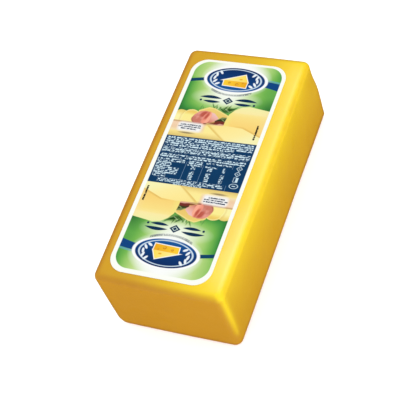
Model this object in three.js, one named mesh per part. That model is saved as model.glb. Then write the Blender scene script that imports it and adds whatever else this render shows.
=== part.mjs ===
// Block of yellow-coated semi-hard cheese with a rounded rectangular paper label stuck to its top.
// Units are millimetres. +Z is up, +Y runs along the block, and the origin is the middle of the underside.
// The block is pressed in one piece: flat underside and top, walls that belly out a little between them,
// and softly rounded edges. The label lies flat on the top and stops short of the rounded edges.
import * as THREE from "three";

// Driving dimensions
const LENGTH = 270; // along Y, at the fullest part of the walls
const WIDTH = 126; // along X, at the fullest part of the walls
const HEIGHT = 86; // underside to top
const CORNER_R = 7; // upright corner edges, seen from above
const TOP_IN = 8; // how far the top edge's rounding reaches in over the top
const TOP_DOWN = 6; // how far it reaches down the wall
const FOOT_IN = 7; // how far the bottom edge's rounding reaches in under the block
const FOOT_UP = 6; // how far it reaches up the wall
const BELLY = 0.2; // how much narrower each wall's upper and lower ends are than its mid height
const BOW = 0.45; // how far a wall's middle stands out past its ends, seen from above

const LABEL_WIDTH = 98; // along X
const LABEL_LENGTH = 245; // along Y
const LABEL_R = 16; // label corner radius
const LABEL_THICK = 0.25; // paper with its adhesive
const LABEL_X = -3; // label centre, which sits a little off the block's own middle
const LABEL_Y = -1.5;
const LABEL_GAP = 0.05; // clearance between the label's underside and the coating

const CORNER_STEPS = 9; // segments round each upright corner
const EDGE_STEPS = 7; // segments round the top and bottom edges
const WALL_STEPS = 6; // rows up the walls
const LONG_STEPS = 10; // segments along a long wall
const SHORT_STEPS = 6; // segments along a short wall

// One ring of the block as seen from above, anticlockwise, drawn inset by a distance. Every ring has
// the same number of points in the same order, so neighbouring rings can be skinned together.
function ring(inset) {
  const halfX = WIDTH / 2 - inset;
  const halfY = LENGTH / 2 - inset;
  const r = CORNER_R - inset / 2;
  const points = [];
  [
    [1, -1, LONG_STEPS],
    [1, 1, SHORT_STEPS],
    [-1, 1, LONG_STEPS],
    [-1, -1, SHORT_STEPS],
  ].forEach(([sx, sy, steps], i) => {
    const from = (Math.PI / 2) * (i - 1);
    const corner = new THREE.EllipseCurve(sx * (halfX - r), sy * (halfY - r), r, r, from, from + Math.PI / 2);
    const arc = corner.getPoints(CORNER_STEPS);
    const along = new THREE.Vector2(-sx * (sx === sy ? 1 : 0), -sy * (sx === sy ? 0 : 1));
    const run = 2 * ((sx === sy ? halfX : halfY) - r);
    const end = arc[CORNER_STEPS];
    points.push(...arc);
    for (let k = 1; k < steps; k++) points.push(end.clone().addScaledVector(along, (run * k) / steps));
  });
  return points.map(bowed);
}

// Draws a wall's ends in by up to BOW, so its middle stands out.
function bowed({ x, y }) {
  const u = x / (WIDTH / 2);
  const v = y / (LENGTH / 2);
  return new THREE.Vector2(x - BOW * u * v * v, y - BOW * v * u * u);
}

// The block's section as pairs of inset and height, from the underside up to the top.
function section() {
  const wallLow = FOOT_UP;
  const wallHigh = HEIGHT - TOP_DOWN;
  const rows = [];
  for (let i = 0; i <= EDGE_STEPS; i++) {
    const a = (Math.PI / 2) * (i / EDGE_STEPS);
    rows.push([BELLY + (FOOT_IN - BELLY) * (1 - Math.sin(a)), FOOT_UP * (1 - Math.cos(a))]);
  }
  for (let i = 1; i < WALL_STEPS; i++) {
    const t = i / WALL_STEPS;
    rows.push([BELLY * (2 * t - 1) ** 2, THREE.MathUtils.lerp(wallLow, wallHigh, t)]);
  }
  for (let i = 0; i <= EDGE_STEPS; i++) {
    const a = (Math.PI / 2) * (i / EDGE_STEPS);
    rows.push([BELLY + (TOP_IN - BELLY) * (1 - Math.cos(a)), wallHigh + TOP_DOWN * Math.sin(a)]);
  }
  return rows;
}

// Skins the rings from the bottom up and closes the two ends with flat fans.
function blockGeometry() {
  const rows = section().map(([inset, z]) => ring(inset).map((p) => new THREE.Vector3(p.x, p.y, z)));
  const n = rows[0].length;
  const last = (rows.length - 1) * n;
  const vertices = rows.flat();
  const under = vertices.push(new THREE.Vector3(0, 0, 0)) - 1;
  const over = vertices.push(new THREE.Vector3(0, 0, HEIGHT)) - 1;
  const index = [];
  for (let i = 0; i < n; i++) {
    const next = (i + 1) % n;
    index.push(under, next, i, over, last + i, last + next);
    for (let j = 0; j < last; j += n) index.push(j + i, j + next, j + next + n, j + i, j + next + n, j + i + n);
  }
  const geometry = new THREE.BufferGeometry().setFromPoints(vertices);
  geometry.setIndex(index);
  geometry.computeVertexNormals();
  return geometry;
}

function labelShape() {
  const x = LABEL_WIDTH / 2 - LABEL_R;
  const y = LABEL_LENGTH / 2 - LABEL_R;
  const shape = new THREE.Shape();
  shape.absarc(x, -y, LABEL_R, -Math.PI / 2, 0);
  shape.absarc(x, y, LABEL_R, 0, Math.PI / 2);
  shape.absarc(-x, y, LABEL_R, Math.PI / 2, Math.PI);
  shape.absarc(-x, -y, LABEL_R, Math.PI, 1.5 * Math.PI);
  shape.closePath();
  return shape;
}

const coating = new THREE.MeshStandardMaterial({ color: 0xe0a826, roughness: 0.42, metalness: 0 });
const paper = new THREE.MeshStandardMaterial({ color: 0xf4f3ee, roughness: 0.5, metalness: 0 });

const block = new THREE.Mesh(blockGeometry(), coating);
block.name = "cheese_block";

const label = new THREE.Mesh(
  new THREE.ExtrudeGeometry(labelShape(), { depth: LABEL_THICK, bevelEnabled: false, curveSegments: 10 }),
  paper,
);
label.name = "top_label";
label.position.set(LABEL_X, LABEL_Y, HEIGHT + LABEL_GAP);

const cheese = new THREE.Group();
cheese.add(block, label);
export default cheese;
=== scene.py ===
import math

import bpy
from mathutils import Matrix, Vector, noise


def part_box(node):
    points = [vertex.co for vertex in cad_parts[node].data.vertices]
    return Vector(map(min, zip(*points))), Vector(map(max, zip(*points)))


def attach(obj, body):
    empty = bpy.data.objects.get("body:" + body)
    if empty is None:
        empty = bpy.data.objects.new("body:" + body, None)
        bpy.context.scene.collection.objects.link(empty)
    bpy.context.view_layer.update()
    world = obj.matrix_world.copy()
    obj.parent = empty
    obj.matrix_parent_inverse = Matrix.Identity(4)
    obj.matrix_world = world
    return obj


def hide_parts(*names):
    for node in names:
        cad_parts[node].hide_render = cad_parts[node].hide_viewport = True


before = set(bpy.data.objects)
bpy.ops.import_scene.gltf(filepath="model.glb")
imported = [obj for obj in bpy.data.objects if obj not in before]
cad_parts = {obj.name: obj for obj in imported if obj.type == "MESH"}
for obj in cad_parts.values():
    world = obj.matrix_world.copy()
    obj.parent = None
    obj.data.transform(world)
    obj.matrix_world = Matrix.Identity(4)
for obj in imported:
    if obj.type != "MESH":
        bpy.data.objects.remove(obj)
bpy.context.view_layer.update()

MM = 0.001
scene = bpy.context.scene
block_low, block_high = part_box("cheese_block")
label_low, label_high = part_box("top_label")
LENGTH = (block_high.y - block_low.y) / MM
WIDTH = (block_high.x - block_low.x) / MM
HEIGHT = (block_high.z - block_low.z) / MM
LABEL_X = (label_low.x + label_high.x) / 2 / MM
LABEL_Y = (label_low.y + label_high.y) / 2 / MM


# ---------------------------------------------------------------- camera
def make_camera():
    azimuth, elevation, roll = map(math.radians, (38.661, 52.638, -23.425))
    distance, aside, above = 1107.655 * MM, -14.498 * MM, -8.934 * MM
    back = Vector(
        (
            math.sin(azimuth) * math.cos(elevation),
            -math.cos(azimuth) * math.cos(elevation),
            math.sin(elevation),
        )
    )
    right = (-back).cross(Vector((0, 0, 1))).normalized()
    up = right.cross(-back)
    x_axis = right * math.cos(roll) + up * math.sin(roll)
    y_axis = up * math.cos(roll) - right * math.sin(roll)
    place = Vector((0, 0, HEIGHT / 2 * MM)) + back * distance + x_axis * aside + y_axis * above
    data = bpy.data.cameras.new("camera")
    data.sensor_width = 36
    data.lens = 105.313
    data.clip_start, data.clip_end = 0.05, 200
    camera = bpy.data.objects.new("camera", data)
    camera.matrix_world = Matrix(
        (
            (x_axis.x, y_axis.x, back.x, place.x),
            (x_axis.y, y_axis.y, back.y, place.y),
            (x_axis.z, y_axis.z, back.z, place.z),
            (0, 0, 0, 1),
        )
    )
    scene.collection.objects.link(camera)
    scene.camera = camera


make_camera()


# ---------------------------------------------------------------- node maths
class Num:
    """A number that varies over a surface. Arithmetic on it adds maths nodes."""

    def __init__(self, graph, socket):
        self.graph, self.socket = graph, socket

    def __add__(self, other):
        return self.graph.maths("ADD", self, other)

    __radd__ = __add__

    def __sub__(self, other):
        return self.graph.maths("SUBTRACT", self, other)

    def __rsub__(self, other):
        return self.graph.maths("SUBTRACT", other, self)

    def __mul__(self, other):
        if isinstance(other, Mask):
            return other * self
        return self.graph.maths("MULTIPLY", self, other)

    __rmul__ = __mul__

    def __abs__(self):
        return self.graph.maths("ABSOLUTE", self)


class Mask(Num):
    """A share from 0 to 1, which may still run past either end: a mix or a ramp that takes it cuts it off."""

    def __init__(self, graph, socket, capped=False, floored=False):
        super().__init__(graph, socket)
        self.capped, self.floored = capped, floored

    def cap(self):
        if self.capped:
            return self
        return Mask(self.graph, self.graph.maths("MINIMUM", self, 1.0).socket, True, self.floored)

    def full(self):
        made = self.cap()
        if made.floored:
            return made
        return Mask(self.graph, self.graph.maths("MAXIMUM", made, 0.0).socket, True, True)

    def __add__(self, other):
        return self.graph.maths("ADD", self.full(), other)

    __radd__ = __add__

    def __rsub__(self, other):
        return Mask(self.graph, self.graph.maths("SUBTRACT", other, self.full()).socket, True, True)

    def __mul__(self, other):
        if isinstance(other, Mask):
            other = other.full()
            floored = self.floored
        else:
            floored = self.floored and not isinstance(other, Num)
        return Mask(self.graph, self.graph.maths("MULTIPLY", self.cap(), other).socket, True, floored)

    __rmul__ = __mul__


class Place:
    """A point on the sheet, in millimetres."""

    def __init__(self, graph, x, y):
        self.x, self.y = x, y
        self.flat = graph.vector(x, y, 0.0)
        self.one = graph.vector(x, y, 1.0)


class Graph:
    """One material's node tree."""

    def __init__(self, name):
        self.material = bpy.data.materials.new(name)
        self.material.use_nodes = True
        self.tree = self.material.node_tree
        self.tree.nodes.clear()
        self.shader = self.add("ShaderNodeBsdfPrincipled")
        out = self.add("ShaderNodeOutputMaterial")
        self.tree.links.new(self.shader.outputs[0], out.inputs["Surface"])
        coordinates = self.add("ShaderNodeTexCoord")
        self.object_place = coordinates.outputs["Object"]

    def add(self, kind, **settings):
        node = self.tree.nodes.new(kind)
        for key, value in settings.items():
            setattr(node, key, value)
        return node

    def feed(self, socket, value):
        if isinstance(value, Num):
            value = value.socket
        if isinstance(value, bpy.types.NodeSocket):
            self.tree.links.new(value, socket)
        elif isinstance(value, (tuple, list)) and len(socket.default_value) == 4 and len(value) == 3:
            socket.default_value = (*value, 1.0)
        else:
            socket.default_value = value

    def maths(self, operation, *values):
        node = self.add("ShaderNodeMath", operation=operation)
        for socket, value in zip(node.inputs, values):
            self.feed(socket, value)
        return Num(self, node.outputs[0])

    def vectors(self, operation, *values):
        node = self.add("ShaderNodeVectorMath", operation=operation)
        for socket, value in zip(node.inputs, values):
            self.feed(socket, value)
        return node

    def largest(self, *values):
        made = values[0]
        for value in values[1:]:
            made = self.maths("MAXIMUM", made, value)
        return made

    def smallest(self, *values):
        made = values[0]
        for value in values[1:]:
            made = self.maths("MINIMUM", made, value)
        return made

    def millimetres(self):
        """x, y and z in the row frame, in millimetres."""
        scaled = self.add("ShaderNodeVectorMath", operation="SCALE")
        self.feed(scaled.inputs[0], self.object_place)
        scaled.inputs["Scale"].default_value = 1 / MM
        apart = self.add("ShaderNodeSeparateXYZ")
        self.feed(apart.inputs[0], scaled.outputs[0])
        return [Num(self, s) for s in apart.outputs]

    def vector(self, x, y, z=0.0):
        node = self.add("ShaderNodeCombineXYZ")
        for socket, value in zip(node.inputs, (x, y, z)):
            self.feed(socket, value)
        return node.outputs[0]

    def noise(self, place, scale, detail=2.0, roughness=0.5, distortion=0.0):
        node = self.add("ShaderNodeTexNoise")
        self.feed(node.inputs["Vector"], place)
        node.inputs["Scale"].default_value = scale
        node.inputs["Detail"].default_value = detail
        node.inputs["Roughness"].default_value = roughness
        node.inputs["Distortion"].default_value = distortion
        return Num(self, node.outputs["Fac"])

    def specks(self, across, along, seed, detail=1.0, roughness=0.4):
        """Noise with so many turns a millimetre across and along the sheet."""
        node = self.add("ShaderNodeMapping", vector_type="POINT")
        self.feed(node.inputs["Vector"], self.object_place)
        node.inputs["Location"].default_value = (seed * 13.7, seed * 5.3, seed)
        node.inputs["Scale"].default_value = (across / MM, along / MM, 0.0)
        return self.noise(node.outputs[0], 1.0, detail, roughness)

    def inside(self, distance, soft=0.3):
        """1 where distance is below nothing, 0 above it, over an edge that is soft millimetres wide."""
        return Mask(self, self.maths("MULTIPLY_ADD", distance, -1.0 / soft, 0.5).socket)

    def between(self, value, low, high, soft=0.3):
        if isinstance(low, Num) or isinstance(high, Num):
            return self.inside(self.largest(low - value, value - high), soft)
        return self.inside(abs(value - (low + high) / 2) - (high - low) / 2, soft)

    def ramp(self, value, low, high):
        """0 at low, 1 at high."""
        size = high - low
        return Mask(self, self.maths("MULTIPLY_ADD", value, 1 / size, -low / size).socket)

    def smooth_ramp(self, value, low, high):
        node = self.add("ShaderNodeMapRange", interpolation_type="SMOOTHSTEP", clamp=False)
        self.feed(node.inputs["Value"], value)
        self.feed(node.inputs["From Min"], low)
        self.feed(node.inputs["From Max"], high)
        return Mask(self, node.outputs["Result"], True, True)

    def side(self, place, across, along, at):
        """Signed distance past the line across * x + along * y = at."""
        size = math.hypot(across, along)
        return Num(self, self.vectors("DOT_PRODUCT", place.one, (across / size, along / size, -at / size)).outputs["Value"])

    def polygon(self, place, *corners):
        """Signed distance to a convex polygon with its corners anticlockwise."""
        sides = []
        for (ax, ay), (bx, by) in zip(corners, corners[1:] + corners[:1]):
            nx, ny = by - ay, ax - bx
            sides.append(self.side(place, nx, ny, nx * ax + ny * ay))
        return self.largest(*sides)

    def ellipse(self, place, cx, cy, rx, ry, degrees=0.0):
        """About the distance to an ellipse turned by degrees."""
        if degrees:
            c, s = math.cos(math.radians(degrees)), math.sin(math.radians(degrees))
            u = self.vectors("DOT_PRODUCT", place.one, (c / rx, s / rx, -(c * cx + s * cy) / rx)).outputs["Value"]
            v = self.vectors("DOT_PRODUCT", place.one, (-s / ry, c / ry, (s * cx - c * cy) / ry)).outputs["Value"]
            away = self.vector(u, v)
        else:
            away = self.vectors("MULTIPLY_ADD", place.flat, (1 / rx, 1 / ry, 0.0), (-cx / rx, -cy / ry, 0.0)).outputs[0]
        small = min(rx, ry)
        return self.maths("MULTIPLY_ADD", self.vectors("LENGTH", away).outputs["Value"], small, -small)

    def box(self, place, cx, cy, half_x, half_y, radius=0.0):
        away = self.vectors("ABSOLUTE", self.vectors("SUBTRACT", place.flat, (cx, cy, 0.0)).outputs[0]).outputs[0]
        over = self.vectors("SUBTRACT", away, (half_x - radius, half_y - radius, 0.0)).outputs[0]
        across, along = (Num(self, self.vectors("DOT_PRODUCT", over, axis).outputs["Value"]) for axis in ((1, 0, 0), (0, 1, 0)))
        if not radius:
            return self.largest(across, along)
        outside = Num(self, self.vectors("LENGTH", self.vectors("MAXIMUM", over, (0.0, 0.0, 0.0)).outputs[0]).outputs["Value"])
        return outside + self.smallest(self.largest(across, along), 0.0) - radius

    def mix(self, share, under, over):
        node = self.add("ShaderNodeMix", data_type="RGBA")
        self.feed(node.inputs[0], share)
        self.feed(node.inputs[6], under)
        self.feed(node.inputs[7], over)
        return node.outputs[2]

    def colours(self, value, *stops):
        node = self.add("ShaderNodeValToRGB")
        self.feed(node.inputs[0], value)
        elements = node.color_ramp.elements
        while len(elements) < len(stops):
            elements.new(1.0)
        for element, (at, colour) in zip(elements, stops):
            element.position = at
            element.color = (*colour, 1.0)
        return node.outputs[0]

    def bump(self, height, distance, strength=1.0, normal=None):
        node = self.add("ShaderNodeBump")
        self.feed(node.inputs["Height"], height)
        node.inputs["Distance"].default_value = distance
        node.inputs["Strength"].default_value = strength
        if normal is not None:
            self.feed(node.inputs["Normal"], normal)
        return node.outputs[0]


def rgb(red, green, blue):
    """A display colour, 0 to 255, as the linear numbers that the nodes take."""

    def linear(c):
        c /= 255
        return c / 12.92 if c <= 0.04045 else ((c + 0.055) / 1.055) ** 2.4

    return linear(red), linear(green), linear(blue)


# ---------------------------------------------------------------- coating
def coating_material():
    g = Graph("cheese_coating")
    x, y, z = g.millimetres()
    place = g.vector(x, y, z)
    broad = g.noise(place, 0.012, 3.0, 0.55)
    fine = g.noise(place, 0.09, 3.0, 0.6)
    colour = g.colours(
        broad,
        (0.30, (0.588, 0.268, 0.0050)),
        (0.50, (0.606, 0.280, 0.0056)),
        (0.70, (0.624, 0.292, 0.0062)),
    )
    colour = g.mix(g.ramp(fine, 0.55, 0.75) * 0.10, colour, (0.64, 0.32, 0.010))
    # Painted shade: the edges along the top, the foot and the uprights are darkened to orange, the top edges more so
    # towards the far end and the right, all broken up by noise.
    side_x = WIDTH / 2 - abs(x)
    side_y = LENGTH / 2 - abs(y)
    side = g.smallest(side_x, side_y)
    top = g.smooth_ramp(side + (HEIGHT - z), 6.8, 2.6)
    foot = g.smooth_ramp(side + z, 12.0, 2.0)
    upright = g.smooth_ramp(side_x + side_y, 7.0, 2.0)
    far_right_shade = g.ramp(y, -80.0, 60.0).full() * g.ramp(x, 0.0, 10.0)
    top = top * (far_right_shade * 0.38 + 0.62)
    painted_edge_shade = Mask(g, g.largest(top.full(), foot * 0.8, upright * 0.35).socket, True, True)
    painted_edge_shade = painted_edge_shade * g.ramp(fine, -0.30, 0.60)
    # The painted edge shade is mixed into the coating's colour here.
    colour = g.mix(painted_edge_shade, colour, (0.40, 0.125, 0.0060))
    # Painted shade: the upper part of the long wall's far end is darkened a little too.
    painted_far_end_shade = g.ramp(y, 92.0, 134.0) * g.ramp(x, 52.0, 62.0) * g.ramp(z, 46.0, 66.0)
    colour = g.mix(painted_far_end_shade * 0.38, colour, (0.40, 0.125, 0.0060))
    g.feed(g.shader.inputs["Base Color"], colour)
    g.feed(g.shader.inputs["Roughness"], g.ramp(fine, 0.2, 0.8) * 0.10 + 0.30)
    g.feed(g.shader.inputs["Specular IOR Level"], 0.5)
    waves = g.noise(place, 0.045, 2.0, 0.5)
    peel = g.noise(place, 0.55, 2.0, 0.5)
    normal = g.bump(waves, 0.6 * MM)
    normal = g.bump(peel, 0.02 * MM, normal=normal)
    g.feed(g.shader.inputs["Normal"], normal)
    return g.material


# ---------------------------------------------------------------- label print
def ink(red, green, blue):
    return tuple(max(0.0004, c * 0.955 - 0.003) for c in rgb(red, green, blue))


class Sheet:
    """A printed sheet: each call prints one colour over what is there."""

    def __init__(self, g, ground):
        self.g, self.colour = g, ground

    def over(self, mask, colour):
        if isinstance(colour, tuple):
            colour = ink(*colour)
        self.colour = self.g.mix(mask, self.colour, colour)

    def shades(self, mask, value, *stops):
        self.over(mask, self.g.colours(value, *((at, ink(*colour)) for at, colour in stops)))


def green_ground(g, p):
    """Pale in the middle under the badge, deep green towards both sides and down behind the food."""
    high_left = g.ramp(p.y, 92.0, 100.0).full() * g.inside(p.x + 2.0, 1.0)
    away = abs(p.x + 2.0) * (1 / 47)
    wide = away * g.maths("MULTIPLY_ADD", away, -1.05, 1.92)
    right = (g.inside(-2.0 - p.x, 1.0) * g.ramp(p.y, 112.0, 98.0)).full()
    out = g.maths("POWER", g.maths("MULTIPLY_ADD", wide - away, right, away), 1.6)
    side = out * (1.0 - high_left * 0.32)
    down = g.maths("MAXIMUM", g.maths("MULTIPLY_ADD", p.y, -1 / 28, 84 / 28), 0.0)
    deep = 1.0 - (1.0 - side) * (1.0 - down * down)
    clouds = g.specks(0.05, 0.05, 1.0, 2.0)
    return g.colours(
        g.maths("MULTIPLY_ADD", clouds, 0.12, deep - 0.06),
        (0.00, ink(251, 252, 249)),
        (0.22, ink(214, 232, 184)),
        (0.38, ink(188, 218, 134)),
        (0.60, ink(150, 201, 104)),
        (0.75, ink(114, 182, 80)),
        (0.90, ink(70, 154, 66)),
        (1.00, ink(36, 110, 52)),
    )


def band(g, sheet, p):
    """The blue band that runs behind the badge."""
    sheet.over(g.inside(g.ellipse(p, -2.5, 101.5, 31.0, 20.0), 7.0) * 0.8, (250, 252, 250))
    square = p.x * p.x
    low = g.maths("MULTIPLY_ADD", square, -0.00277, g.maths("MULTIPLY_ADD", p.x, -0.020, 97.57))
    high = g.maths("MULTIPLY_ADD", square, -0.0022, g.maths("MULTIPLY_ADD", p.x, 0.035, 102.68))
    up = p.y - high
    sheet.over(g.between(up, 0.2, 1.9, 0.8) * g.ramp(p.x, 18.0, 34.0) * 0.7, (96, 164, 196))
    blue = g.mix(g.ramp(p.x, -48.0, 20.0), ink(10, 68, 100), ink(4, 70, 132))
    sheet.over(g.inside(g.largest(low - p.y, up), 0.5), blue)


def badge(g, sheet, p):
    """A plain oval badge with a wedge of cheese between two sprigs, and a line of greeked print under it."""
    cx, cy = -2.5, 99.6
    oval = g.ellipse(p, cx, cy, 29.6, 14.6)
    arc = g.ellipse(p, cx, cy, 30.2, 18.7)
    line = g.largest(abs(arc) - 1.1, p.y - 91.5, abs(p.x + 2.5) - 20.6)
    strokes = g.specks(1.1, 0.6, 3.0)
    sheet.over(g.inside(line, 0.4) * g.ramp(strokes, 0.31, 0.42) * g.ramp(abs(p.x - cx), 26.0, 15.0), (16, 46, 76))
    sheet.over(g.inside(oval - 1.5, 0.5), (252, 253, 253))
    sheet.shades(g.inside(oval, 0.4), g.ramp(p.y, 84.0, 115.0), (0.0, (20, 96, 168)), (0.45, (6, 62, 124)), (1.0, (4, 44, 96)))
    sheet.over(g.between(oval, -2.3, -1.5, 0.4), (206, 226, 240))
    fold = Place(g, abs(p.x - cx), p.y)
    leaves = [
        g.ellipse(fold, px, py, 2.6, 1.15, turn + 90)
        for px, py, turn in ((17.2, 93.4, 62), (20.4, 96.3, 38), (21.8, 100.4, 12), (20.6, 104.4, -16), (17.0, 107.2, -42))
    ]
    sheet.over(g.inside(g.smallest(*leaves), 0.4), (238, 245, 250))
    top = g.polygon(p, (-14.0, 98.6), (10.2, 98.2), (5.8, 106.6))
    face = g.polygon(p, (-14.0, 98.6), (-13.6, 92.2), (10.0, 91.4), (10.2, 98.2))
    sheet.over(g.inside(g.smallest(top, face) - 0.8, 0.4), (252, 252, 248))
    sheet.shades(g.inside(top, 0.35), g.ramp(p.x, -12.0, 8.0), (0.0, (255, 240, 150)), (1.0, (254, 222, 90)))
    sheet.shades(g.inside(face, 0.35), g.ramp(p.x, -13.0, 9.0), (0.0, (253, 206, 52)), (1.0, (240, 172, 26)))
    pits = [g.ellipse(p, px, py, r, r * 0.9) for px, py, r in ((-7.6, 95.6, 1.35), (0.2, 94.4, 1.75), (6.0, 96.4, 1.05))]
    sheet.over(g.inside(g.smallest(*pits), 0.35), (205, 132, 18))
    floors = [g.ellipse(p, px + 0.25, py - 0.3, r * 0.72, r * 0.6) for px, py, r in ((-7.6, 95.6, 1.35), (0.2, 94.4, 1.75), (6.0, 96.4, 1.05))]
    sheet.over(g.inside(g.smallest(*floors, g.ellipse(p, 2.6, 100.9, 1.7, 0.8)), 0.35), (236, 178, 48))


def ornament(g, sheet, p):
    """A printer's ornament: a diamond between two pairs of tapered strokes."""
    q = abs(p.x + 2.0)
    middle = 73.9
    lift = abs(p.y - middle)
    sheet.over(g.inside(g.ellipse(p, -4.0, middle + 2.5, 25.0, 8.0), 8.0) * 0.6, (246, 252, 240))
    navy = (13, 50, 85)
    diamond = g.maths("MULTIPLY_ADD", q, 0.61, lift * 0.78) - 3.3
    shapes = [diamond]
    for near, far, up, thick, bend in ((6.6, 29.4, 1.7, 1.75, 1.0), (7.0, 25.0, -2.2, 1.55, -0.5)):
        t = (q - (near + far) / 2) * (2 / (far - near))
        hump = 1.0 - t * t
        shapes.append(g.maths("MULTIPLY_ADD", hump, -thick, abs(g.maths("MULTIPLY_ADD", hump, -bend, p.y - (middle + up)))))
    dots = Place(g, q, p.y)
    shapes.append(g.ellipse(dots, 27.2, middle - 2.0, 1.2, 1.2))
    sheet.over(g.inside(g.smallest(*shapes), 0.4), navy)
    sheet.over(g.inside(abs(diamond + 1.7) - 0.3, 0.3), (205, 224, 214))


def food(g, sheet, p):
    """A plain serving picture: rolled ham and herbs between slices, a block of cheese and a board."""
    x, y = p.x, p.y
    wander = g.specks(0.16, 0.16, 2.0, 2.0) - 0.5
    d = Place(g, g.maths("MULTIPLY_ADD", wander, 1.8, x), g.maths("MULTIPLY_ADD", wander, -1.6, y))
    grain = g.specks(0.35, 0.35, 5.0, 3.0) - 0.5
    # deep green at the right, behind the block
    sheet.over(g.ramp(x, 26.0, 43.0) * g.ramp(y, 84.0, 69.0) * 0.65, (28, 88, 44))
    # herbs
    sheet.over(g.inside(g.ellipse(d, -1.5, 62.6, 9.5, 3.6, 4), 3.0) * 0.8, (108, 158, 84))
    sheet.over(g.inside(g.ellipse(d, 2.9, 63.0, 5.4, 2.6, 16), 2.2) * 0.9, (42, 90, 34))
    for colour, leaves in (
        ((96, 146, 80), ((-11.8, 65.4, 62, 2.7, 0.5), (-25.6, 62.6, 76, 2.6, 0.5), (-22.9, 62.0, 118, 2.0, 0.4), (9.4, 66.6, 40, 2.8, 0.6))),
        ((64, 114, 56), ((-13.6, 65.8, -62, 3.0, 0.65), (-9.8, 64.6, -74, 2.6, 0.5), (-5.4, 64.4, -40, 2.8, 0.5), (7.2, 65.6, 26, 3.2, 0.7))),
        ((206, 226, 178), ((-8.2, 65.0, 70, 2.8, 0.5), (-4.2, 66.0, 56, 2.0, 0.4), (0.2, 63.6, -34, 2.6, 0.35))),
        ((24, 72, 20), ((-1.4, 65.2, 52, 3.0, 0.65), (2.4, 66.2, 66, 2.4, 0.55), (4.0, 64.0, 18, 3.6, 0.8), (-3.4, 62.4, -30, 3.4, 0.55))),
        ((150, 186, 112), ((1.2, 65.4, 78, 1.9, 0.4), (5.6, 62.6, 40, 2.2, 0.4))),
    ):
        sheet.over(g.inside(g.smallest(*(g.ellipse(d, cx, cy, rx, ry, turn) for cx, cy, turn, rx, ry in leaves)), 0.8) * 0.9, colour)
    # the slice that stands behind the ham
    behind = g.polygon(d, (-28.0, 44.5), (4.5, 44.5), (4.5, 57.0), (-11.0, 63.6), (-17.0, 64.4), (-26.5, 59.4))
    sheet.shades(g.inside(behind, 0.5), g.ramp(y, 50.0, 62.0), (0.0, (234, 194, 104)), (1.0, (238, 208, 116)))
    sheet.over(g.between(behind, -1.2, -0.2, 0.6) * 0.7, (246, 232, 150))
    # folded slices at the left
    first = g.ellipse(d, -43.0, 47.5, 10.5, 10.2)
    sheet.shades(g.inside(first, 0.5), g.ramp(d.y, 51.0, 60.0), (0.0, (252, 243, 168)), (0.45, (243, 217, 124)), (0.8, (226, 204, 116)), (1.0, (196, 198, 118)))
    second = g.ellipse(d, -32.0, 48.6, 9.6, 10.8)
    sheet.over(g.between(second, 0.0, 1.6, 1.4) * g.inside(first, 0.5) * 0.4, (224, 192, 108))
    sheet.shades(g.inside(second, 0.5), g.ramp(d.y, 46.0, 60.0), (0.0, (253, 236, 150)), (0.45, (250, 238, 146)), (0.7, (242, 208, 106)), (1.0, (230, 196, 98)))
    sheet.over(g.between(second, -1.0, -0.1, 0.5) * 0.6, (252, 243, 172))
    # the board under them
    board = g.box(p, -23.0, 43.0, 25.5, 2.1)
    sheet.shades(g.inside(board, 0.6), g.ramp(y, 41.0, 45.2), (0.0, (242, 210, 178)), (0.5, (224, 184, 142)), (0.8, (198, 160, 112)), (1.0, (214, 178, 128)))
    # the flat end of the ham
    end = g.polygon(d, (-15.0, 45.0), (-10.4, 46.2), (-5.0, 50.2), (-4.4, 52.8), (-9.4, 57.4), (-15.0, 58.8))
    sheet.shades(g.inside(end, 0.6), g.maths("MULTIPLY_ADD", x, 0.036, g.ramp(y, 41.0, 52.0).socket), (0.0, (196, 112, 92)), (0.3, (226, 148, 128)), (0.65, (236, 176, 160)), (1.0, (240, 192, 186)))
    # herbs in the gap
    gap = g.polygon(d, (-6.6, 45.6), (3.8, 45.6), (4.0, 54.8), (-0.6, 54.2), (-7.0, 49.4))
    sheet.shades(g.inside(gap, 0.8), g.maths("MULTIPLY_ADD", grain, 0.7, g.ramp(y, 46.5, 54.5).socket), (0.0, (116, 52, 42)), (0.25, (78, 52, 34)), (0.5, (52, 66, 34)), (0.8, (86, 98, 54)), (1.0, (134, 142, 84)))
    stems = [g.ellipse(d, cx, cy, 2.6, 0.5, turn) for cx, cy, turn in ((-2.6, 52.2, 24), (1.4, 50.6, -30), (0.6, 53.0, 8))]
    sheet.over(g.inside(g.smallest(*stems), 0.5) * 0.8, (146, 164, 104))
    under = g.polygon(d, (-13.0, 44.9), (3.6, 45.6), (3.8, 49.0), (-4.2, 49.4), (-9.6, 46.6))
    sheet.over(g.inside(under, 0.8) * 0.9, (124, 50, 42))
    strip = g.polygon(d, (-9.0, 44.2), (3.6, 44.2), (3.6, 46.0), (-1.0, 46.2))
    sheet.over(g.inside(strip, 0.6) * 0.9, (222, 166, 146))
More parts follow.
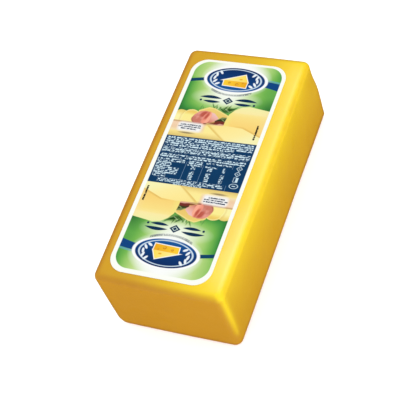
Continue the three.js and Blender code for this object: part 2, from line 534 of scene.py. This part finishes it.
    # rolled ham
    roll = g.ellipse(d, -21.2, 51.4, 9.9, 7.6, 28)
    mottle = g.maths("MULTIPLY_ADD", grain, 0.7, g.ramp(g.side(p, 0.5, 1.0, 0.0), 32.0, 51.0).socket)
    sheet.shades(g.inside(roll, 0.5), mottle, (0.0, (204, 124, 106)), (0.35, (232, 156, 142)), (0.6, (226, 142, 124)), (0.85, (240, 168, 146)), (1.0, (244, 184, 140)))
    sheet.over(g.between(roll, -0.8, 0.2, 0.8) * g.ramp(y, 53.0, 47.0) * 0.7, (168, 92, 74))
    sheet.over(g.inside(g.ellipse(d, -20.2, 55.2, 4.3, 2.5, 50), 1.6) * 0.95, (186, 82, 66))
    sheet.over(g.inside(g.ellipse(d, -23.4, 49.4, 0.7, 5.0, -22), 1.4) * 0.6, (206, 112, 96))
    lip = g.ellipse(d, -15.9, 51.2, 3.9, 7.9, -13)
    sheet.shades(g.inside(lip, 0.6), g.ramp(g.side(p, 1.0, -0.28, 0.0), -34.6, -27.0), (0.0, (252, 196, 176)), (0.14, (240, 154, 134)), (0.5, (230, 134, 112)), (0.76, (244, 158, 132)), (0.9, (252, 178, 150)), (1.0, (250, 172, 144)))
    sheet.over(g.inside(g.ellipse(d, -16.4, 53.6, 1.5, 4.4, -14), 1.5) * 0.9, (188, 80, 64))
    sheet.over(g.inside(g.ellipse(d, -17.6, 47.6, 2.4, 1.6, 40), 1.6) * 0.6, (250, 164, 140))
    sheet.over(g.inside(g.ellipse(d, -15.6, 44.6, 1.8, 0.7, 12), 0.8) * 0.8, (112, 36, 32))
    # the block of cheese at the right
    block = g.polygon(p, (3.2, 34.0), (44.0, 34.0), (44.0, 67.3), (22.0, 70.1), (15.0, 68.5), (8.6, 64.0), (4.7, 58.4), (3.4, 50.0))
    sheet.shades(
        g.inside(block, 0.5),
        g.maths("MULTIPLY_ADD", grain, 0.04, g.ramp(y, 43.0, 69.5).socket),
        (0.00, (249, 211, 116)),
        (0.28, (250, 217, 126)),
        (0.52, (250, 224, 134)),
        (0.66, (250, 230, 148)),
        (0.72, (250, 235, 166)),
        (1.00, (242, 240, 170)),
    )
    within = g.inside(block, 0.5)
    sheet.over(g.between(x, 2.0, 8.0, 4.0) * within * 0.5, (243, 234, 132))
    sheet.over(g.ramp(x, 36.0, 44.0) * within * 0.4, (246, 220, 160))
    # the near slices
    lower = g.polygon(p, (-18.0, 26.0), (44.0, 26.0), (44.0, 35.8), (22.4, 44.4), (8.0, 45.0), (-13.5, 43.6))
    sheet.over(g.between(lower, 0.0, 1.6, 1.2) * g.ramp(x, 12.0, 26.0) * 0.8, (226, 186, 98))
    sheet.shades(g.inside(lower, 0.5), g.maths("MULTIPLY_ADD", grain, 0.04, g.ramp(g.side(p, 0.5, -1.0, 0.0), -42.0, -14.0).socket), (0.0, (250, 228, 144)), (0.35, (253, 233, 150)), (0.7, (252, 236, 160)), (1.0, (248, 242, 180)))
    left = g.smallest(g.polygon(p, (-22.0, 26.0), (9.5, 26.0), (-11.8, 42.2), (-15.6, 42.0)), g.box(p, -34.0, 29.9, 16.0, 4.0))
    sheet.over(g.between(left, 0.0, 2.0, 1.6) * g.ramp(x, -15.0, -10.0) * 0.8, (226, 190, 98))
    sheet.shades(g.inside(left, 0.5), g.maths("MULTIPLY_ADD", grain, 0.18, g.ramp(y, 28.5, 37.0).socket), (0.0, (228, 202, 120)), (0.35, (244, 220, 136)), (0.7, (253, 234, 150)), (1.0, (251, 236, 152)))
    peach = g.box(p, -31.0, 38.2, 17.5, 5.0)
    sheet.shades(g.inside(peach, 1.6) * g.ramp(x, -11.0, -17.0), g.ramp(y, 33.5, 43.0), (0.0, (246, 226, 176)), (0.4, (240, 205, 166)), (1.0, (244, 212, 180)))
    sheet.over(g.inside(g.ellipse(p, -30.0, 31.7, 7.0, 1.0), 1.0) * 0.85, (138, 118, 92))


def caption(g, sheet, p, half):
    sheet.over(g.inside(g.box(p, -28.8, 38.8, 12.0, 4.9, 3.0), 3.4) * 0.95, (246, 249, 250))
    strokes = g.specks(0.8, 0.8, 11.0)
    lines = g.smallest(g.box(p, -28.4, 41.1, 10.6, 0.75), g.box(p, -29.2, 38.8, 11.4, 0.62), g.box(p, -29.4, 36.5, 8.0, 0.72))
    sheet.over(g.inside(lines, 0.4) * (g.ramp(strokes, 0.38, 0.50) * 0.8 + 0.2), (40, 54, 82))
    marks = g.specks(0.6, 0.8, 21.0)
    beside = Place(g, g.maths("MULTIPLY_ADD", half, 1.3, p.x), p.y)
    sheet.over(g.inside(g.box(beside, 38.3, 41.6, 0.95, 8.4), 0.4) * g.ramp(marks, 0.32, 0.44), (38, 36, 32))


def panel(g, sheet, x, y):
    """The dark panel across the middle: unreadable lines, an empty table and plain outlines."""
    tilt = g.maths("MULTIPLY_ADD", x, -0.018, y)
    p = Place(g, x, tilt)
    tone = g.mix(g.specks(0.08, 0.08, 9.0, 2.0), ink(0, 56, 95), ink(0, 64, 108))
    sheet.over(g.inside(abs(tilt - 0.6) - 27.1, 0.4), tone)
    pale = (220, 246, 255)
    for pitch, start, thick, seed, blocks in (
        (
            2.2,
            26.7,
            0.76,
            1.0,
            (
                (-46.4, 40.6, 17.9, 26.7),
                (-46.4, 23.0, 15.7, 17.9),
                (-46.4, 40.6, 8.6, 14.6),
                (-46.4, 38.8, 2.5, 7.0),
            ),
        ),
        (
            1.92,
            1.7,
            0.66,
            4.0,
            (
                (-46.6, -19.4, -2.2, 1.7),
                (-15.8, -1.6, -4.1, 1.7),
                (2.0, 26.8, -0.3, 1.7),
                (2.0, 14.0, -4.1, -2.2),
                (-46.4, -31.5, -8.0, -2.2),
                (-46.4, -22.8, -15.7, -8.0),
                (-46.0, -33.0, -19.6, -15.7),
                (-11.2, -7.0, -8.0, -4.1),
                (-11.0, -6.9, -19.3, -9.9),
                (5.0, 9.6, -8.0, -4.1),
                (5.0, 9.3, -19.3, -9.9),
                (19.8, 22.2, -8.0, -2.2),
                (19.4, 22.8, -19.5, -9.9),
                (-39.0, 25.6, -24.4, -20.6),
                (-22.4, 5.6, -26.3, -24.4),
            ),
        ),
    ):
        steps = g.maths("MULTIPLY_ADD", tilt, -1 / pitch, start / pitch)
        line = g.maths("MULTIPLY_ADD", abs(g.maths("FRACT", steps) - 0.5), pitch, -thick)
        strokes = g.specks(0.54, 0.62, seed)
        words = g.specks(0.36, 0.6, seed + 1.5, 0.0)
        mark = g.ramp(strokes, 0.42, 0.52).full() * g.ramp(words, 0.27, 0.33)
        regions = g.smallest(*(g.box(p, (a + b) / 2, (c + d) / 2, (b - a) / 2, (d - c) / 2) for a, b, c, d in blocks))
        sheet.over(g.inside(g.largest(line, regions), 0.5) * mark * 0.95, pale)
    rules = g.smallest(g.box(p, -17.4, -10.0, 0.16, 10.4), g.box(p, -0.2, -10.8, 0.16, 9.4), g.box(p, 28.2, 0.4, 0.16, 2.6), g.box(p, 28.2, -23.4, 0.16, 3.2))
    sheet.over(g.inside(rules, 0.3) * 0.6, (150, 184, 214))
    # plain outlines at the right
    across = abs(x - 34.8)
    diamonds = [(g.maths("ADD", across, abs(tilt - cy)) - 2.7) * 0.72 for cy in (-0.6, -6.6)]
    diamond = g.smallest(*diamonds)
    square = g.box(p, 34.9, -13.0, 2.1, 2.4)
    oval = g.ellipse(p, 35.2, -19.9, 4.0, 2.5)
    outlines = g.smallest(abs(diamond) - 0.26, abs(square) - 0.2, abs(oval) - 0.24, g.largest(square, 34.9 - x), g.box(p, 35.2, -19.9, 1.6, 0.45))
    sheet.over(g.inside(outlines, 0.35) * 0.85, pale)
    sheet.over(g.inside(diamond + 1.25, 0.35) * 0.45, pale)


def label_material():
    g = Graph("label_print")
    x, y, z = g.millimetres()
    # Both ends carry the same print, one turned half round against the other.
    half = g.maths("SIGN", y - 0.8)
    p = Place(g, g.maths("MULTIPLY_ADD", x + 2.5, half, -2.5), abs(y - 0.8) + 0.8)
    sheet = Sheet(g, green_ground(g, p))
    band(g, sheet, p)
    badge(g, sheet, p)
    ornament(g, sheet, p)
    food(g, sheet, p)
    caption(g, sheet, p, half)
    panel(g, sheet, x, y)
    here = Place(g, x, y)
    art = g.box(here, -2.7, -0.5, 45.1, 119.0, 14.5)
    colour = g.mix(g.inside(art, 0.35), ink(251, 253, 245), sheet.colour)
    g.feed(g.shader.inputs["Base Color"], colour)
    fibre = g.specks(0.9, 0.9, 31.0, 3.0)
    g.feed(g.shader.inputs["Roughness"], g.ramp(fibre, 0.2, 0.8) * 0.08 + 0.36)
    g.feed(g.shader.inputs["Specular IOR Level"], 0.1)
    g.feed(g.shader.inputs["Normal"], g.bump(g.specks(0.12, 0.12, 33.0, 2.0), 0.10 * MM))
    return g.material


# ---------------------------------------------------------------- block mesh
CORNER_R, TOP_IN, TOP_DOWN, FOOT_IN, FOOT_UP, BELLY, BOW = 7.0, 8.0, 6.0, 7.0, 6.0, 0.2, 0.45


def eased(value, low, high):
    t = min(1.0, max(0.0, (value - low) / (high - low)))
    return t * t * (3 - 2 * t)


def ring(inset, z, corner_steps, long_steps, short_steps):
    """The block's outline from above, drawn in by inset, anticlockwise from the near right corner."""
    half_x, half_y = WIDTH / 2 - inset, LENGTH / 2 - inset
    # The far right corner is pressed sharper low down, and the near left one rounder.
    radii = (CORNER_R, 1.6 + 5.4 * eased(z, 40, 74), CORNER_R, CORNER_R + 4.0 * (1 - eased(z, 2, 11)))
    corners = []
    for i, (sx, sy) in enumerate(((1, -1), (1, 1), (-1, 1), (-1, -1))):
        r = max(radii[i] - inset / 2, 1.6 if i == 1 else 0.35 * CORNER_R)
        turns = [math.pi / 2 * (i - 1 + k / corner_steps) for k in range(corner_steps + 1)]
        corners.append([(sx * (half_x - r) + r * math.cos(a), sy * (half_y - r) + r * math.sin(a)) for a in turns])
    points = []
    for i, corner in enumerate(corners):
        points += corner
        (ax, ay), (bx, by) = corner[-1], corners[(i + 1) % 4][0]
        steps = long_steps if i % 2 == 0 else short_steps
        points += [(ax + (bx - ax) * k / steps, ay + (by - ay) * k / steps) for k in range(1, steps)]
    made = []
    for px, py in points:
        u, v = px / (WIDTH / 2), py / (LENGTH / 2)
        # Low down towards the far right corner the walls stand out to their full width.
        full = (1 - eased(z, 30, 70)) * eased(u, 0.1, 0.85) * eased(v, 0.1, 0.85)
        stay, out = BOW * (1 - full), full * min(inset, 0.9)
        made.append((px - stay * u * v * v + out, py - stay * v * u * u + out))
    return made


def section():
    """Inset and height, from the middle of the underside to the middle of the top."""
    rows = []
    flat = [WIDTH / 2 - 4 - (WIDTH / 2 - 4 - FOOT_IN) * k / 14 for k in range(14)]
    rows += [(inset, 0.0) for inset in flat]
    for k in range(15):
        a = math.pi / 2 * k / 14
        rows.append((BELLY + (FOOT_IN - BELLY) * (1 - math.sin(a)), FOOT_UP * (1 - math.cos(a))))
    low, high = FOOT_UP, HEIGHT - TOP_DOWN
    for k in range(1, 26):
        t = k / 26
        rows.append((BELLY * (2 * t - 1) ** 2, low + (high - low) * t))
    for k in range(15):
        a = math.pi / 2 * k / 14
        rows.append((BELLY + (TOP_IN - BELLY) * (1 - math.cos(a)), high + TOP_DOWN * math.sin(a)))
    flat = [TOP_IN + (WIDTH / 2 - 4 - TOP_IN) * k / 14 for k in range(1, 15)]
    rows += [(inset, HEIGHT) for inset in flat]
    return rows


def lay_out_block(mesh):
    """Six flat charts in one square, 440 mm a side: a face goes to the side that it looks towards most."""
    half_x, half_y = WIDTH / 2, LENGTH / 2
    layer = mesh.uv_layers.new(name="OFBake")
    for polygon in mesh.polygons:
        nx, ny, nz = polygon.normal
        most = max(abs(nx), abs(ny), abs(nz))
        for loop in polygon.loop_indices:
            x, y, z = mesh.vertices[mesh.loops[loop].vertex_index].co / MM
            if abs(nz) == most:
                u, v = (3 + x + half_x, 3 + y + half_y) if nz > 0 else (134 + half_x - x, 3 + y + half_y)
            elif abs(nx) == most:
                u, v = (265 + z, 3 + y + half_y) if nx > 0 else (355 + HEIGHT - z, 3 + y + half_y)
            else:
                u, v = (3 + x + half_x, 280 + z) if ny < 0 else (134 + half_x - x, 280 + z)
            layer.data[loop].uv = (u / 444, v / 444)


def make_block():
    rows = section()
    rings = [ring(inset, z, 10, 100, 40) for inset, z in rows]
    n = len(rings[0])
    vertices, faces = [], []
    for (inset, z), outline in zip(rows, rings):
        for px, py in outline:
            # A slow, shallow unevenness that only ever draws the surface in. The underside stays flat.
            side = min(1.0, max(0.0, z / 12))
            place = Vector((px, py, z)) * 0.018
            draw = side * 0.16 * (noise.noise(place) * 0.5 + 0.5)
            out = Vector((px * (LENGTH / WIDTH) ** 0.5 * 1.2, py, (z - HEIGHT / 2) * 1.4)).normalized()
            vertices.append(((px - out.x * draw) * MM, (py - out.y * draw) * MM, (z if z <= 0 else z - max(out.z, 0) * draw) * MM))
    for j in range(len(rings) - 1):
        for i in range(n):
            k = (i + 1) % n
            faces.append((j * n + i, j * n + k, (j + 1) * n + k, (j + 1) * n + i))
    # Both middles are closed by triangles round one point.
    last = (len(rings) - 1) * n
    middle = len(vertices)
    vertices.append((0.0, 0.0, 0.0))
    vertices.append((0.0, 0.0, sum(v[2] for v in vertices[last:middle]) / n))
    for i in range(n):
        k = (i + 1) % n
        faces.append((middle, k, i))
        faces.append((middle + 1, last + i, last + k))
    mesh = bpy.data.meshes.new("cheese")
    mesh.from_pydata(vertices, [], faces)
    mesh.update()
    for polygon in mesh.polygons:
        polygon.use_smooth = True
    lay_out_block(mesh)
    piece = bpy.data.objects.new("cheese", mesh)
    scene.collection.objects.link(piece)
    mesh.materials.append(coating_material())
    return piece


# ---------------------------------------------------------------- label mesh
def make_label():
    half_x = (label_high.x - label_low.x) / 2 / MM
    half_y = (label_high.y - label_low.y) / 2 / MM
    radius, thick = 16.0, 0.25
    outline = []
    for i, (sx, sy) in enumerate(((1, -1), (1, 1), (-1, 1), (-1, -1))):
        for k in range(25):
            a = math.pi / 2 * (i - 1 + k / 24)
            outline.append((LABEL_X + sx * (half_x - radius) + radius * math.cos(a), LABEL_Y + sy * (half_y - radius) + radius * math.sin(a)))
    n = len(outline)
    low, high = label_low.z, label_high.z
    edge = 0.08

    def drawn_in(inset, z):
        made = []
        for i, (px, py) in enumerate(outline):
            q = (i // 25)
            a = math.pi / 2 * (q - 1 + (i % 25) / 24)
            made.append(((px - inset * math.cos(a)) * MM, (py - inset * math.sin(a)) * MM, z))
        return made

    levels = [drawn_in(0, low), drawn_in(0, high - edge * MM), drawn_in(edge * 0.3, high - edge * 0.3 * MM), drawn_in(edge, high)]
    vertices = [v for level in levels for v in level]
    faces = [tuple(range(n - 1, -1, -1))]
    for j in range(3):
        faces += [(j * n + i, j * n + (i + 1) % n, (j + 1) * n + (i + 1) % n, (j + 1) * n + i) for i in range(n)]
    faces.append(tuple(3 * n + i for i in range(n)))
    mesh = bpy.data.meshes.new("label")
    mesh.from_pydata(vertices, [], faces)
    mesh.update()
    # The printed face fills most of the square, the edge runs round it, and the underside has the strip below.
    layer = mesh.uv_layers.new(name="OFBake")
    for f, polygon in enumerate(mesh.polygons):
        for loop in polygon.loop_indices:
            index = mesh.loops[loop].vertex_index
            px, py = outline[index % n]
            across, along = (px - LABEL_X) / half_x / 2 + 0.5, (py - LABEL_Y) / half_y / 2 + 0.5
            if f == 0:
                layer.data[loop].uv = (0.02 + 0.96 * along, 0.09 - 0.08 * across)
            else:
                i = index % n
                a = math.pi / 2 * (i // 25 - 1 + (i % 25) / 24)
                out = (3 - index // n) * 0.006
                layer.data[loop].uv = (0.02 + 0.96 * across + out * math.cos(a), 0.12 + 0.86 * along + out * math.sin(a))
    piece = bpy.data.objects.new("label", mesh)
    scene.collection.objects.link(piece)
    mesh.materials.append(label_material())
    return piece


cheese = make_block()
label = make_label()
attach(cheese, "root")
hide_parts("cheese_block")
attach(label, "root")
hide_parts("top_label")


# ---------------------------------------------------------------- floor and light
def make_floor():
    mesh = bpy.data.meshes.new("floor")
    s = 60.0
    mesh.from_pydata([(-s, -s, 0), (s, -s, 0), (s, s, 0), (-s, s, 0)], [], [(0, 1, 2, 3)])
    floor = bpy.data.objects.new("floor", mesh)
    scene.collection.objects.link(floor)
    g = Graph("floor")
    g.feed(g.shader.inputs["Base Color"], (0.95, 0.95, 0.95))
    g.feed(g.shader.inputs["Roughness"], 0.9)
    g.feed(g.shader.inputs["Specular IOR Level"], 0.0)
    mesh.materials.append(g.material)
    floor.visible_glossy = False
    return floor


floor = make_floor()


def area_light(name, place, aim, size, power, colour=(1, 1, 1), only=None, glossy=True):
    data = bpy.data.lights.new(name, "AREA")
    data.shape = "RECTANGLE"
    data.size, data.size_y = size
    data.energy = power
    data.color = colour
    light = bpy.data.objects.new(name, data)
    light.location = Vector(place)
    light.rotation_mode = "QUATERNION"
    light.rotation_quaternion = (Vector(aim) - Vector(place)).to_track_quat("-Z", "Y")
    light.visible_camera = False
    light.visible_glossy = glossy
    scene.collection.objects.link(light)
    if only:
        group = bpy.data.collections.new(name + "_lit")
        for o in only:
            group.objects.link(o)
        light.light_linking.receiver_collection = group
    return light


def tilted(light, degrees):
    light.rotation_mode = "XYZ"
    light.rotation_euler = (0, math.radians(degrees), 0)


# The key light: a long strip beside the block's upper right edge, which faces down and to the left.
key = area_light("key", (110 * MM, 45 * MM, (HEIGHT + 60) * MM), (0, 0, 0), (24 * MM, 390 * MM), 0.4875, (0.43, 1.0, 0.05), [cheese], glossy=False)
tilted(key, 60)

# A soft box whose reflection is the pale streak along the right margin of the top.
for name, at, long, power in (("streak", 24, 256, 0.092), ("near_streak", -61, 72, 0.047)):
    streak = area_light(name, (57 * MM, at * MM, (HEIGHT + 42) * MM), (0, 0, 0), (48 * MM, long * MM), power, (0.28, 0.32, 1.0), [cheese])
    tilted(streak, 0)
    streak.visible_diffuse = False
    streak.data.spread = math.radians(120)

# A narrow beam along the near right upright edge, tapering to both ends.
edge = area_light("edge", (79 * MM, -145 * MM, 60 * MM), (62.5 * MM, -130.5 * MM, 60 * MM), (2.4 * MM, 84 * MM), 0.0015, (0.43, 1.0, 0.05), [cheese], glossy=False)
edge.data.shape = "ELLIPSE"
edge.data.spread = math.radians(26)

# A short light over the near end of the top, towards the right.
near = area_light("near", (58 * MM, -122 * MM, (HEIGHT + 40) * MM), (0, 0, 0), (110 * MM, 24 * MM), 0.018, (0.45, 1.0, 0.05), [cheese], glossy=False)
tilted(near, 0)

# Light on the floor alone, so that it stays as pale as the backdrop close to the block.
lift = bpy.data.objects.new("lift", bpy.data.lights.new("lift", "SUN"))
lift.data.energy = 1.35
lift.data.angle = math.radians(60)
scene.collection.objects.link(lift)
lift.light_linking.receiver_collection = bpy.data.collections.new("lift_lit")
lift.light_linking.receiver_collection.objects.link(floor)
lift.light_linking.blocker_collection = bpy.data.collections.new("lift_shade")
lift.light_linking.blocker_collection.objects.link(floor)

world = bpy.data.worlds.new("world")
world.use_nodes = True
world.node_tree.nodes["Background"].inputs["Color"].default_value = (1.0, 1.0, 1.0, 1.0)
world.node_tree.nodes["Background"].inputs["Strength"].default_value = 1.08
scene.world = world
world.cycles_visibility.glossy = False
scene.view_settings.view_transform = "Standard"
scene.view_settings.look = "None"
